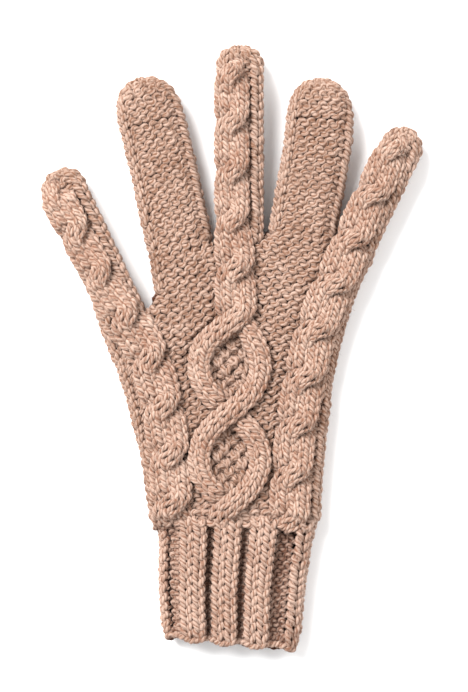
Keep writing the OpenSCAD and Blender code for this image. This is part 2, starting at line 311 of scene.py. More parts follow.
# ------------ the diamonds on the back of the hand
DIAMOND_X = -1.8  # middle line of the diamonds
DIAMOND_MID = 1.2  # where the two strands cross between the diamonds
DIAMOND_HALF = 37.6  # length of one diamond
DIAMOND_SWAY = 12.3  # how far a strand swings to each side
DIAMOND_BLUNT = 0.85  # how much blunter the swing is than a sine
DIAMOND_TOP, DIAMOND_LOW = DIAMOND_MID + DIAMOND_HALF, DIAMOND_MID - DIAMOND_HALF


def sway(y):
    """Half the distance between the middles of the two diamond strands."""
    w = np.sin(np.pi * (np.asarray(y) - DIAMOND_MID) / DIAMOND_HALF)
    return DIAMOND_SWAY * np.tanh(DIAMOND_BLUNT * w) / math.tanh(DIAMOND_BLUNT)


# ------------ where each strip's fabric stops
PALM_OVERLAP = 1.4  # how far neighbouring strips of the palm run into each other


def paths_mid(a, b, y):
    """The x at which two neighbouring strips meet."""
    xa, xb = a.path.x_at(y), b.path.x_at(y)
    return (xa * b.half + xb * a.half) / (a.half + b.half)


def back_limits(strip, x, y):
    """True where a point of the strip's back sheet shows, clear of the cables it runs under."""
    low = y < DIAMOND_TOP
    if strip is INDEX:
        right = DIAMOND_X - abs(sway(y)) if low else middle_cable.x_at(y) - 2
        return thumb_cable.x_at(y) + 2 < x < right
    if strip is RING:
        left = DIAMOND_X + abs(sway(y)) if low else middle_cable.x_at(y) + 2
        return left < x < little_cable.x_at(y) - 2
    if strip is THUMB:
        return x < thumb_cable.x_at(y) + 1
    if strip is LITTLE:
        return x > little_cable.x_at(y) - 1
    return False


def palm_limits(strip, x, y):
    """True where a point of the palm belongs to the strip."""
    i = STRIPS.index(strip)
    past_left = strip is THUMB or x > paths_mid(STRIPS[i - 1], strip, y) - PALM_OVERLAP
    return past_left and (strip is LITTLE or x < paths_mid(strip, STRIPS[i + 1], y) + PALM_OVERLAP)


# ------------ yarn
def yarn_axes(line, up, closed):
    """Unit vectors to the side and to the top of the yarn, at each point of its line."""
    if closed:
        ahead, behind = np.roll(line, -1, 0), np.roll(line, 1, 0)
    else:
        ahead = np.concatenate([line[1:], 2 * line[-1:] - line[-2:-1]])
        behind = np.concatenate([2 * line[:1] - line[1:2], line[:-1]])
    tangent = ahead - behind
    tangent /= np.maximum(np.linalg.norm(tangent, axis=1, keepdims=True), TINY)
    side = np.cross(tangent, up)
    side /= np.maximum(np.linalg.norm(side, axis=1, keepdims=True), TINY)
    return side, np.cross(side, tangent)


def ply_outline(share, sides):
    """Radius at each share of the way round, against the yarn's own: a bulge for each ply."""
    if sides < 3 * PLIES:
        return np.ones(sides)
    return 0.76 + 0.28 * np.abs(np.sin(np.pi * PLIES * share)) ** 0.55


def tube_faces(n, sides, closed, shift):
    """Faces between n rings of points. A closed tube's last ring meets its first one shift points on."""
    i = np.arange(n if closed else n - 1)[:, None]
    j = np.arange(sides)[None, :]
    k = (j + 1) % sides
    following = (i + 1) % n
    quads = np.stack([i * sides + j, i * sides + k, following * sides + k, following * sides + j], -1)
    if closed:
        quads[-1, :, 2] = (k[0] + shift) % sides
        quads[-1, :, 3] = (j[0] + shift) % sides
    return quads


class Mesh:
    """Collects yarn until it becomes one piece."""

    def __init__(self):
        self.points, self.faces, self.uv, self.tone, self.deep = [], [], [], [], []
        self.count = 0

    def tube(self, line, up, tone=None, closed=False, deep=0.0, radius=YARN, sides=SIDES):
        """Plied yarn along a line of points. The rings of points wind with the plies."""
        n = len(line)
        tone = np.zeros(n) if tone is None else np.asarray(tone)
        thick = np.full(n, radius)
        if not closed:
            thick[[0, -1]] *= END_NARROWS
        side, top = yarn_axes(line, up, closed)
        gap = np.linalg.norm(np.roll(line, -1, 0) - line, axis=1)
        length = np.concatenate([[0], np.cumsum(gap)[:-1]])
        whole = gap.sum() if closed else length[-1]
        plies_met = max(1, round(whole / PLY_TURN * PLIES))  # a ring closes on a whole number of plies
        turns = plies_met / PLIES if closed else whole / PLY_TURN
        wind = 2 * np.pi * (turns * length / whole + rng.uniform())
        share = np.arange(sides) / sides
        phi = 2 * np.pi * share[None, :] - wind[:, None]
        r = ply_outline(share, sides)
        rings = line[:, None] + (thick[:, None] * r)[..., None] * (
            np.cos(phi)[..., None] * top[:, None] + np.sin(phi)[..., None] * side[:, None])
        quads = tube_faces(n, sides, closed, (-plies_met * sides // PLIES) % sides)
        uv = np.empty((len(quads), sides, 4, 2))
        for corner, (du, dl) in enumerate(((0, 0), (1, 0), (1, 1), (0, 1))):
            uv[:, :, corner, 0] = share + du / sides
            uv[:, :, corner, 1] = ((length + dl * gap)[:len(quads)] / 10)[:, None]
        faces, uvs = [quads.reshape(-1, 4)], [uv.reshape(-1, 2)]
        if not closed:
            first = np.arange(sides // 2 - 1)
            cap = np.stack([first, first + 1, sides - 2 - first, sides - 1 - first], -1)
            faces += [cap[:, ::-1], cap + (n - 1) * sides]
            uvs += [np.zeros((cap.size, 2)), np.full((cap.size, 2), whole / 10)]
        self.points.append(rings.reshape(-1, 3))
        self.faces.append(np.concatenate(faces) + self.count)
        self.uv.append(np.concatenate(uvs))
        self.tone.append(np.repeat(tone, sides))
        # how far each point lies out of the fabric, which sets its painted shade
        below = np.broadcast_to(np.asarray(deep, float), (n,))
        self.deep.append((below[:, None] + thick[:, None] * r * np.cos(phi)).ravel())
        self.count += n * sides

    def build(self, name, material, slot):
        """The collected yarn as a Blender object, or None where there is none."""
        if not self.points:
            return None
        points = np.concatenate(self.points) * MM
        quads = np.concatenate(self.faces)
        mesh = bpy.data.meshes.new(name)
        mesh.vertices.add(len(points))
        mesh.vertices.foreach_set("co", points.astype(np.float32).ravel())
        mesh.loops.add(quads.size)
        mesh.loops.foreach_set("vertex_index", quads.astype(np.int32).ravel())
        mesh.polygons.add(len(quads))
        mesh.polygons.foreach_set("loop_start", np.arange(0, quads.size, 4, dtype=np.int32))
        mesh.polygons.foreach_set("use_smooth", np.ones(len(quads), bool))
        mesh.update(calc_edges=True)
        layer = mesh.uv_layers.new(name="yarn")
        layer.data.foreach_set("uv", np.concatenate(self.uv).astype(np.float32).ravel())
        # the stitches' tone, which also carries the painted highlight, and the depth that sets the painted
        # shade
        for label, values in (("tone", self.tone), ("deep", self.deep)):
            layer = mesh.attributes.new(label, "FLOAT", "POINT")
            layer.data.foreach_set("value", np.concatenate(values).astype(np.float32))
        mesh.validate()
        mesh.materials.append(material)
        piece = bpy.data.objects.new(name, mesh)
        bpy.context.scene.collection.objects.link(piece)
        return piece


def loop_wave(s, sign, tall=LOOP_TALL):
    """Place across in stitches, place along in rows and depth of a row's yarn at stitch number s.

    The sign is 1 on a knit stitch, which shows its two legs, and -1 on a purl stitch, which shows its bars.
    """
    turn = 2 * np.pi * s
    knit = (np.asarray(sign) + 1) / 2
    wave = PURL_WAVE + (KNIT_WAVE - PURL_WAVE) * knit
    depth = PURL_DEPTH + (KNIT_DEPTH - PURL_DEPTH) * knit
    return s + wave * np.sin(2 * turn), -tall * np.cos(turn), -sign * depth * np.cos(2 * turn)


BLUR = 0.16  # share of a stitch over which it takes on the next one's values
ASIDE, LESS = 0.25, 0.8  # how much less loops vary sideways, and in height and depth
PROUD, PROUD_HIGHLIGHT = 0.4, 2.0  # stitches that stand up further than this get a painted highlight
SHADE_SUNK = 0.5  # how much more painted shade sunken fabric gets for each mm
TUCK = 2.2  # how far a loose end of yarn goes under


def spread(values, s):
    """Values given per stitch, at stitch numbers s, changing only near the ends of a stitch."""
    values = np.asarray(values, float)
    i = np.clip(np.floor(s).astype(int), 0, len(values) - 1)
    f = s - np.floor(s)
    here = values[i]
    before = values[np.clip(i - 1, 0, len(values) - 1)]
    after = values[np.clip(i + 1, 0, len(values) - 1)]
    low = np.clip(0.5 + f / BLUR / 2, 0.5, 1)
    high = np.clip(0.5 + (1 - f) / BLUR / 2, 0.5, 1)
    late = np.where(f > 1 - BLUR, after + (here - after) * high, here)
    return np.where(f < BLUR, before + (here - before) * low, late)


def row_points(strip, q, s, mapping, signs, row=ROW, relief=None, jitter=0.14, closed=False):
    """One row's yarn. mapping turns stitch numbers into distances over the fabric, and the side."""
    n = len(signs)
    side, high, out = loop_wave(s, spread(signs, s))
    loose = spread(rng.normal(0, jitter, n), s)
    lift = spread(rng.normal(0, jitter * LESS, n), s)
    out = out + spread(rng.normal(0, jitter * LESS, n), s)
    o, palm = mapping(side + loose * ASIDE)
    along = q + high * row + lift
    if closed:  # the stitches keep their shares of a ring that grows or shrinks within the row
        left, right = (there / here for there, here in zip(strip.half_rings(along), strip.half_rings(q)))
        o = o * np.where(o < 0, left, right)
    raised, lower = relief(o, palm, along) if relief else (0, 0)
    p = strip.at(along + lower, o, palm)
    normal = strip.normal(along + lower, o, palm)
    # sunken fabric, such as gutters and valleys, gets painted shade
    deep = out + SHADE_SUNK * np.minimum(raised, 0)
    line = p + normal * (out + raised)[:, None]
    line[:, 2] = np.maximum(line[:, 2], REST_Z)
    if not closed:
        line = ends_down(line, normal, s, n)
    # each stitch's own tone, plus a painted highlight on stitches that stand up
    tone = spread(rng.normal(0, 1, n), s) + PROUD_HIGHLIGHT * np.clip(raised - PROUD, 0, 1)
    return Row(q, line, normal, tone, deep, closed)


def ends_down(line, normal, s, n, deep=TUCK):
    """Tucks the two ends of an open row below the surface."""
    edge = np.minimum(s, n - s)
    return line - normal * (deep * (1 - smooth(edge, 0, 0.75)))[:, None]


# ------------ the fabric of the strips
# Stitches of a digit from the middle of its back round to the middle of its palm, to the left and to the
# right, on digits with a purl back and on those with a cable. An entry of -1 is a purl, 1 a knit.
COLUMNS = {
    True: ([-1, -1, 1, -1, 1, 1, 1], [-1, -1, -1, 1, 1, 1, 1]),
    False: ([-1, 1, 1, 1, 1], [-1, 1, 1, 1, 1]),
}
COLUMN_SHIFT = 0.3  # how far to the left the columns of a purl back sit, in stitches
RIDGE = 1.35  # how far the knit column at the edge of a digit's back stands up
CAP_ROW = 0.84  # height of a row over the tip, against the others
VALLEY = 1.1  # how far the purl ground sinks beside a cable
EDGE_CHAIN, EDGE_GROOVE = 0.7, 0.9  # height and depth of the chain and the groove along the hand's edge
MOST_STITCHES = 14  # more than a strip has on either side of its middle line
SIDE_STITCH = 1.03  # how much closer than on the back the stitches stand round the hand's sides
PURL_PAST = 0.15  # how far past the flat of the back its purl runs, in radii of the side


def digit_relief(strip):
    """The knit column along the edge of the back stands up, with a groove on one side of it."""
    left, right = COLUMNS[strip.purl_back]
    at = {-1: left.index(1) + 0.5, 1: right.index(1) + 0.5}
    groove = 1.0 if strip.purl_back else -0.8

    def relief(o, palm, q):
        o = o + COLUMN_SHIFT * strip.pitch * strip.purl_back
        gap = np.abs(o) / strip.pitch - np.where(o < 0, at[-1], at[1])
        grooves = np.exp(-((gap - groove) / 0.4) ** 2) + 0.5 * np.exp(-((gap + groove) / 0.4) ** 2)
        fade = 1 - smooth(q, strip.cap_start - 3, strip.cap_start + 2)
        return RIDGE * fade * (np.exp(-(gap / 0.5) ** 2) - grooves), 0
    return relief


def even_ring(n, ring_left, ring_right, shift=0.0):
    """Turns stitch numbers into distances round a closed row, with half of its n stitches on each side."""
    def mapping(s):
        s = np.mod(s - shift, n)
        return np.where(s < n / 2, s * ring_right / (n / 2), -(n - s) * ring_left / (n / 2)), None
    return mapping


def digit_rows(strip):
    """Rows of the digit itself, right round it."""
    left, right = COLUMNS[strip.purl_back]
    rows, q = [], strip.ring_t
    while q < strip.rows_end():
        ring_left, ring_right = strip.ring(q)
        around = ring_left + ring_right
        half = strip.columns // 2
        ring = right + left[::-1]
        if around < 0.8 * strip.columns * strip.pitch:
            half = max(2, int(round(around / strip.pitch / 2)))
            ring = [-1 if strip.purl_back and min(i, 2 * half - 1 - i) < half / 2 - 1 else 1
                    for i in range(2 * half)]
        mapping = even_ring(2 * half, ring_left, ring_right, COLUMN_SHIFT * strip.purl_back)
        s = np.arange(2 * half * SAMPLES) / SAMPLES
        step = ROW * (1 if q < strip.cap_start - ROW else CAP_ROW)
        rows.append(row_points(strip, q, s, mapping, ring, row=step, relief=digit_relief(strip), closed=True))
        q += step
    return rows


def valley(strip, q, o):
    """The purl ground sinks beside the cables and the strands of the diamonds."""
    x, y = strip.path.place(q, o).T
    upper = y > DIAMOND_TOP
    lines = [(thumb_cable.x_at(y), 8.0), (little_cable.x_at(y), 8.0)]
    lines += [(np.where(upper, middle_cable.x_at(y), DIAMOND_X + side * sway(y)), np.where(upper, 8.0, 4.6))
              for side in (-1, 1)]
    beyond = np.min([np.maximum(np.abs(x - middle) - half, 0) for middle, half in lines], axis=0)
    return -VALLEY * np.exp(-(beyond / 2.0) ** 2), 0


def open_row(strip, q, mapping, signs, relief):
    """A row that doesn't run right round, so both of its ends go under."""
    s = np.arange(len(signs) * SAMPLES + 1) / SAMPLES
    return row_points(strip, q, s, mapping, signs, relief=relief)


def count_stitches(strip, q, side, limits):
    """Stitches of a row from the strip's middle line out to the limit, on one side."""
    found = 0
    while found < MOST_STITCHES and limits(strip, *strip.sheet(q, side * (found + 0.5) * strip.pitch_at(q))):
        found += 1
    return found


def side_row(strip, q):
    """A row that runs in from the palm, round the hand's outer side and over its back."""
    pitch = strip.pitch_at(q)
    side, ring = (-1, strip.ring(q)[0]) if q > strip.left_round else (1, strip.ring(q)[1])
    on_palm = count_stitches(strip, q, -side, palm_limits)
    on_back = count_stitches(strip, q, -side, back_limits) if strip is INDEX else 0
    around = max(4, int(round(ring / HAND_STITCH * SIDE_STITCH)))
    places = [ring * (1 - (i + 0.5) / around) for i in range(around)]
    back_edge = (ring - math.pi * strip.r) / 2 + PURL_PAST * strip.r
    chain = min(place for place in places if place >= back_edge)
    signs = [1] * on_palm + [-1 if place < back_edge else 1 for place in places] + [-1] * on_back

    def mapping(s):
        round_side = side * (ring - (s - on_palm) * ring / around)
        over_back = -side * (s - on_palm - around) * pitch
        o = np.where(s < on_palm + around, round_side, over_back)
        o = np.where(s < on_palm, -side * (on_palm - s) * pitch, o)
        return o, s < on_palm

    def relief(o, palm, along):
        """The last knit column stands up like a chain, with a groove inside it."""
        gap = np.abs(o) - chain
        ridge = EDGE_CHAIN * np.exp(-(gap / 2.2) ** 2)
        groove = EDGE_GROOVE * np.exp(-((gap + 4.0) / 1.7) ** 2)
        return np.where(palm, 0, ridge - groove), 0
    return open_row(strip, q, mapping, signs, relief)


def flat_row(strip, q, limits, sign):
    """The row of the palm, where sign is 1, or of the back, where it is -1, that lies inside the limits."""
    pitch = strip.pitch_at(q)
    inside = [c for c in range(-MOST_STITCHES, MOST_STITCHES)
              if limits(strip, *strip.sheet(q, (c + 0.5) * pitch))]
    if not inside:
        return []

    def mapping(s):
        return (s + inside[0]) * pitch, np.full(np.shape(s), sign > 0)

    def relief(o, palm, along):
        return valley(strip, along, o)
    signs = [sign] * (inside[-1] + 1 - inside[0])
    return [open_row(strip, q, mapping, signs, relief if sign < 0 else None)]


def hand_rows(strip):
    """Rows of the hand below the digit: those of its back or outer side, and those of its palm."""
    on_back, on_palm = [], []
    for k in range(1, int((strip.ring_t - 1) / ROW) + 1):
        q = strip.ring_t - k * ROW
        if q > strip.left_round or q > strip.right_round:
            on_back.append(side_row(strip, q))
        else:
            on_palm += flat_row(strip, q, palm_limits, 1)
            on_back += flat_row(strip, q, back_limits, -1)
    return on_back, on_palm


# ------------ cables
STRAND_Z = THICK + 1.2  # height of a strand's middle layer where it runs beside the other
OVER, UNDER = 1.9, 2.9  # how far it rises where it crosses over, and sinks where it crosses under
CROSSING = 2.9  # how short the crossings are
# Width of a cable's stitches on the hand and on the digit, and how far it moves over on the digit
CABLE_PITCH = {"thumb": (4.0, 3.25), "middle": (3.95, 3.25), "little": (3.9, 3.4)}
CABLE_SHIFT = {"thumb": -2.2, "middle": -1.1, "little": -1.4}
CROWN = (0.022, 0.040)  # how fast a cable's back falls towards its sides, on hand and digit
CABLE_TAPER = 0.45  # how much narrower it is at the tip
CABLE_END = 6.5  # how far below the tip it ends
CABLE_LOW_Y = -42.5  # where the two outer cables come out of the wrist welt
TWIST = 19.6  # length of half a turn
STITCHES = 2  # stitches across a strand
CABLE_ROW, CABLE_ROUND = 3.27, 7.5  # height of a cable strand's rows, and radius of its back
DIAMOND_ROW, DIAMOND_PITCH, DIAMOND_ROUND = 3.1, 4.0, 5.0  # the same and the stitch of a diamond
STRAND_TALL = 0.84  # half of the height of a strand's loop, in rows
FADE = 0.4  # how far a strand's row runs on past its two stitches, to go under
TAIL_OUT, TAIL_DOWN = 0.3, 4.5  # how far it goes out and under there, for each stitch
SUNK_PAINTED_SHADE = 0.55  # how much more painted shade a strand that crosses under gets for each mm
DARKEST, TAIL_DARKEST = -0.9, -0.4  # and the painted shade goes no darker than this
TIP_DIP, START_DIP = 4.2, 3.0  # how far a cable goes under at the tip and at the wrist
DIAMOND_LIFT = 0.3  # how much higher than the cables the diamonds lie
OVER_SHARP, UNDER_SHARP = 6, 24  # how short the rises and the dips of their strands are
DIAMOND_DIP = 2.5  # how far they go under at the bottom


def strand_rows(curve, v0, v1, row, pitch, round_by, offset=None, crown=None):
    """Rows of a strand of knit stitches that follows curve(v), which gives a point at each distance v.

    Its stitches are pitch(v) wide, and its back is rounded with radius round_by. In a cable, offset(v)
    says how far to the right of the cable's middle it runs, and crown(v) how fast the cable falls there.
    """
    rows = []
    v = v0
    while v < v1:
        s = np.arange(-int(FADE * SAMPLES), int((STITCHES + FADE) * SAMPLES) + 1) / SAMPLES
        held = np.clip(s, 0, STITCHES)
        side, high, out = loop_wave(held, 1.0, tall=STRAND_TALL)
        tail = np.abs(s - held)
        side = side + TAIL_OUT * (s - held)
        here = v + high * row + rng.normal(0, 0.1)
        centre = curve(here)
        ahead = curve(here + 0.3) - curve(here - 0.3)
        ahead /= np.linalg.norm(ahead, axis=1, keepdims=True)
        up = np.array([0, 0, 1.0]) - ahead * ahead[:, 2:3]
        up /= np.linalg.norm(up, axis=1, keepdims=True)
        right = np.cross(ahead, up)
        out = out + spread(rng.normal(0, 0.12, STITCHES + 2), s + 1)
        across = (side - STITCHES / 2) * pitch(v)
        turn = (across / round_by)[:, None]
        r = (round_by + out - TAIL_DOWN * tail)[:, None]
        line = centre + right * r * np.sin(turn) + up * (r * np.cos(turn) - round_by)
        if offset:
            line[:, 2] -= crown(v) * (offset(here) + across) ** 2
        normal = up * np.cos(turn) + right * np.sin(turn)
        # strands that cross under, and their tucked tails, are painted in shade
        sunk = np.maximum(STRAND_Z - 0.4 - centre[:, 2] if offset else THICK - line[:, 2], 0)
        deep = np.maximum(out - SUNK_PAINTED_SHADE * sunk, np.where(tail > 0, TAIL_DARKEST, DARKEST))
        tone = spread(rng.normal(0, 1, STITCHES + 2), s + 1)
        rows.append(Row(v, line, normal, tone, deep, False))
        v += row
    return rows


def cable_rows(path, first, t0, t1, pitch, shift, crown, fade_in):
    """Two strands that twist round each other. Each crosses over the other, then under it, in turn."""
    rows = []
    for phase in (0, 1):
        def turn(v, phase=phase):
            return np.pi * ((v - first) / TWIST + phase)

        def offset(v, turn=turn):
            return pitch(v) * np.tanh(CROSSING * np.sin(turn(v))) / math.tanh(CROSSING)

        def curve(v, turn=turn, offset=offset):
            c = np.cos(turn(v))
            z = STRAND_Z + np.where(c > 0, OVER * c ** 2, -UNDER * c ** 4)
            z = z - TIP_DIP * smooth(v, t1 - 7, t1 + 1)
            if fade_in:
                z = z - START_DIP * (1 - smooth(v, t0 - 1, t0 + 4))
            return np.concatenate([path.place(v, offset(v) + shift(v)), z[..., None]], -1)
        rows += strand_rows(curve, t0, t1, CABLE_ROW, pitch, CABLE_ROUND, offset, crown)
    return rows


def diamond_x(y):
    """Middle line of the diamonds, which meets the middle cable at the top."""
    return DIAMOND_X + (middle_cable.x_at(DIAMOND_TOP) - DIAMOND_X) * smooth(y, DIAMOND_TOP - 12, DIAMOND_TOP)


def diamond_curve(side, over_at_middle):
    """A strand of the diamonds, which passes over at the middle crossing or at the two ends."""
    def curve(v):
        c = np.cos(np.pi * (v - DIAMOND_MID) / DIAMOND_HALF) * (1 if over_at_middle else -1)
        rise, dip = OVER * c ** OVER_SHARP, UNDER * np.abs(c) ** UNDER_SHARP
        z = STRAND_Z + DIAMOND_LIFT + np.where(c > 0, rise, -dip)
        z = z - DIAMOND_DIP * (1 - smooth(v, DIAMOND_LOW - 5, DIAMOND_LOW))
        return np.stack([diamond_x(v) + side * sway(v), v, z], -1)
    return curve


# ------------ ribbed cuff
class Cuff(Strip):
    """The ribbed tube below the wrist. Distances run up from its bottom edge."""

    def __init__(self):
        self.path = Path([(-1.3, -89.8, 5.5), (-0.8, -68, 3), (0.8, -44, 1.5), (0.8, -38, 0)])
        self.r = MID - SKIN
        self.tip_t = 1e4  # it has no tip
        self.tip_round = SKIN + 1
        up = [0, 6, 26, 40, 47, 53]
        half = [26.6, 27.2, 28.6, 29.6, 31.4, 32.4]
        self.left_width = self.right_width = lambda t: np.interp(t, up, half) - SKIN
        self.left_round = self.right_round = ROUND_ALL_THE_WAY


RIB_WIDE = 10.3  # width of a rib's two knit stitches
RIB_AT = [-3.1, 10.6, 28.0, 40.0, 52.0, 64.0, 76.0, 87.0, 102.2]  # middles of the ribs, round from the back
RIB_ROUND = 118.6  # length round the cuff that these are for
RIB_ROW = 3.46  # height of a row
RIB_HIGH = 1.5  # how far a rib stands up
GUTTER_WIDE, GUTTER_SINK = (3.4, 4.3, 7), (4.4, 2.6, 3.7)  # depth of a gutter of each width
PALM_SINK = 0.5  # depth of the gutters on the palm side, against the back
TOE = 3.5  # length over which the ribs flatten towards the edge
FIRST_ROW, BELOW_WELT = 1.6, 4.6  # where the rows start, and how far below the top they stop


def cuff_mapping(around, ring_right):
    """Stitch numbers to distances round the ring: two knit stitches on each rib, two purl between ribs."""
    n = len(RIB_AT)
    middle = np.array(RIB_AT) * around / RIB_ROUND
    wide = RIB_WIDE * around / RIB_ROUND

    def mapping(s):
        s = np.mod(s, 4 * n)
        k, f = np.floor(s / 4).astype(int), np.mod(s, 4)
        here = middle[k]
        after = np.append(middle, middle[0] + around)[k + 1]
        gap = after - here - wide
        o = np.where(f < 2, here - wide / 2 + f / 2 * wide, here + wide / 2 + (f - 2) / 2 * gap)
        o = np.mod(o, around)
        return np.where(o < ring_right, o, o - around), None
    return mapping


def rib_relief(around):
    """Ribs stand up, the gutters between them sink, and the ribs hang lower at the bottom edge."""
    middle = np.array(RIB_AT + [RIB_AT[0] + RIB_ROUND]) * around / RIB_ROUND
    wide = RIB_WIDE * around / RIB_ROUND

    def relief(o, palm, q):
        place = np.mod(o - middle[0], around) + middle[0]
        gap = np.min(np.abs(place[..., None] - middle), axis=-1) / (wide / 2)
        gutter = np.interp(place, (middle[1:] + middle[:-1]) / 2, np.diff(middle) - wide)
        sink = np.interp(gutter, GUTTER_WIDE, GUTTER_SINK)
        sink = sink * np.where((place > around * 0.25) & (place < around * 0.75), PALM_SINK, 1)
        raised = RIB_HIGH * np.sqrt(np.clip(1.0 - 0.6 * gap ** 2, 0, 1)) - sink * smooth(gap, 0.78, 1.15)
        toe = np.exp(-(np.maximum(q, 0) / TOE) ** 2)
        lower = -toe * (1.5 * np.cos(np.clip(gap, 0, 1.3) * np.pi / 2 / 1.3) ** 2 - 0.5)
        return raised - 0.7 * toe * np.clip(raised, 0, 2), lower
    return relief


def cuff_rows(cuff):
    """Rows of the ribbing, from just above the edge to just below the welt."""
    rows = []
    q = FIRST_ROW
    signs = [1, 1, -1, -1] * len(RIB_AT)
    s = np.arange(len(signs) * SAMPLES) / SAMPLES
    while q < cuff.path.length - BELOW_WELT:
        ring_left, ring_right = cuff.ring(q)
        around = ring_left + ring_right
        rows.append(row_points(cuff, q, s, cuff_mapping(around, ring_right), signs, row=RIB_ROW,
                               relief=rib_relief(around), jitter=0.09, closed=True))
        q += RIB_ROW
    return rows


def edge_rows(cuff):
    """The cast-on edge: three yarns that run round the bottom of the ribs and close their loops."""
    rows = []
    ring_left, ring_right = cuff.ring(0.0)
    around = ring_left + ring_right
    relief = rib_relief(around)
    n = 6 * len(RIB_AT)  # waves round the edge
    for q, sink, phase in ((-0.9, 0.2, 0), (0.0, -1.4, 0.5), (1.2, -0.9, 0)):
        s = np.arange(n * SAMPLES // 2) / (n * SAMPLES // 2)
        o = np.mod(s * around + 5, around)
        o = np.where(o < ring_right, o, o - around)
        raised, lower = relief(o, None, np.zeros(len(o)))
        wave = 2 * np.pi * (s * n + phase)
        along = q + lower + 0.35 * np.sin(wave)
        p, normal = cuff.at(along, o), cuff.normal(along, o)
        out = 0.6 * raised + sink + 0.45 * np.cos(wave)
        line = p + normal * out[:, None]
        line[:, 2] = np.maximum(line[:, 2], REST_Z)
        tone = np.interp(s, np.linspace(0, 1, 40), rng.normal(0, 1, 40))
        # the edge's sink below the ribs also sets its painted shade
        rows.append(Row(0.0, line, normal, tone, np.full(len(s), sink), True))
    return rows


def welt_rows(cuff):
    """Two lumpy purl rows where the ribbing meets the hand."""
    rows = []
    for q, lift, n in ((cuff.path.length - 3.4, 0.9, 28), (cuff.path.length - 1.0, -0.2, 30)):
        s = np.arange(n * SAMPLES) / SAMPLES
        row = row_points(cuff, q, s, even_ring(n, *cuff.ring(q)), [-1] * n, row=3.4, jitter=0.35, closed=True,
                         relief=lambda o, palm, along, lift=lift: (lift + 0 * o, 0))
        # the welt's painted shade is kept from going dark
        rows.append(row._replace(deep=np.maximum(row.deep, -0.3)))
    return rows


# ------------ materials
class Shader:
    """A material made of nodes. An input takes a number, a colour or another node's output."""

    def __init__(self, name):
        self.material = bpy.data.materials.new(name)
        self.material.use_nodes = True
        self.tree = self.material.node_tree
        self.tree.nodes.clear()

    def add(self, kind, inputs=(), **settings):
        """A new node, with its inputs by name or number, and its settings."""
        node = self.tree.nodes.new("ShaderNode" + kind)
        for name, value in settings.items():
            setattr(node, name, value)
        for socket, value in dict(inputs).items():
            if isinstance(value, bpy.types.NodeSocket):
                self.tree.links.new(value, node.inputs[socket])
            else:
                node.inputs[socket].default_value = value
        return node

    def math(self, operation, *values):
        return self.add("Math", enumerate(values), operation=operation).outputs[0]

    def vector(self, operation, *values):
        return self.add("VectorMath", enumerate(values), operation=operation).outputs[0]

    def noise(self, **inputs):
        return self.add("TexNoise", inputs).outputs["Fac"]

    def ramp(self, value, *stops):
        """A colour between two stops, each a position and a colour."""
        node = self.add("ValToRGB", {"Fac": value})
        for element, (position, colour) in zip(node.color_ramp.elements, stops):
            element.position = position
            element.color = (*colour, 1)
        return node.outputs["Color"]

    def finish(self, **inputs):
        """Ends the material with its surface shader. An underscore stands for a space in an input's name."""
        named = {name.replace("_", " "): value for name, value in inputs.items()}
        surface = self.add("BsdfPrincipled", named)
        self.add("OutputMaterial", {"Surface": surface.outputs["BSDF"]})
        return self.material


HEATHER, PATCH, TONE = 0.36, 0.2, 0.03  # how much flecks, patches and single stitches differ in colour; the single stitches' tone also carries the painted highlight on raised stitches
PAINTED_SHADE_TINT = (0.34, 0.22, 0.17)  # colour of the painted shade deep between the stitches, against the dark fibres


def wool(name, dark, light):
    """Heathered wool with fibres that wind with the plies, because the yarn's own coordinates do. It has
    painted shade in the grooves between plies and where a loop lies deep, and a painted highlight on raised
    stitches.
    """
    shader = Shader(name)
    yarn = shader.add("UVMap", uv_map="yarn").outputs["UV"]
    place = shader.add("TexCoord").outputs["Object"]
    stretched = shader.vector("MULTIPLY", yarn, (15, 5, 1))
    moved = shader.vector("MULTIPLY_ADD", place, (90, 90, 90), stretched)
    fibre = shader.noise(Vector=moved, Scale=1, Detail=3, Roughness=0.65)
    heather = shader.noise(Vector=place, Scale=900, Detail=2)
    patch = shader.noise(Vector=place, Scale=75, Detail=2)
    tone = shader.add("Attribute", attribute_name="tone").outputs["Fac"]
    colour = shader.math("MULTIPLY_ADD", heather, HEATHER, shader.math("SUBTRACT", fibre, 0.28))
    colour = shader.math("MULTIPLY_ADD", patch, PATCH, colour)
    # the stitches' own tone, with the painted highlight on raised stitches
    colour = shader.math("MULTIPLY_ADD", tone, TONE, colour)
    # painted shade: the grooves between plies, and the parts of a loop that lie deep in the fabric, are
    # painted darker
    around = shader.add("SeparateXYZ", {0: yarn}).outputs["X"]
    ply = shader.math("ABSOLUTE", shader.math("SINE", shader.math("MULTIPLY", around, math.pi * PLIES)))
    groove = shader.add("MapRange", {"Value": ply, "From Max": 0.7, "To Min": -0.24, "To Max": 0.03})
    colour = shader.math("ADD", colour, groove.outputs["Result"])
    wool_colour = shader.ramp(colour, (0.33, dark), (0.66, light))
    deep = shader.add("Attribute", attribute_name="deep").outputs["Fac"]
    shade = shader.add("MapRange", {"Value": deep, "From Min": -0.95, "From Max": 1.1},
                       interpolation_type="SMOOTHSTEP").outputs["Result"]
    # the colour that the painted shade darkens the wool towards
    painted_shade_colour = (*(d * tint for d, tint in zip(dark, PAINTED_SHADE_TINT)), 1)
    shaded = shader.add("Mix", {"Factor": shade, "A": painted_shade_colour, "B": wool_colour}, data_type="RGBA")
    bump = shader.add("Bump", {"Strength": 0.78, "Distance": 0.0004, "Height": fibre})
    return shader.finish(
        Base_Color=shaded.outputs["Result"], Roughness=0.92, Specular_IOR_Level=0.12, Sheen_Weight=0.18,
        Sheen_Roughness=0.45, Sheen_Tint=(1.0, 0.88, 0.8, 1), Normal=bump.outputs["Normal"])


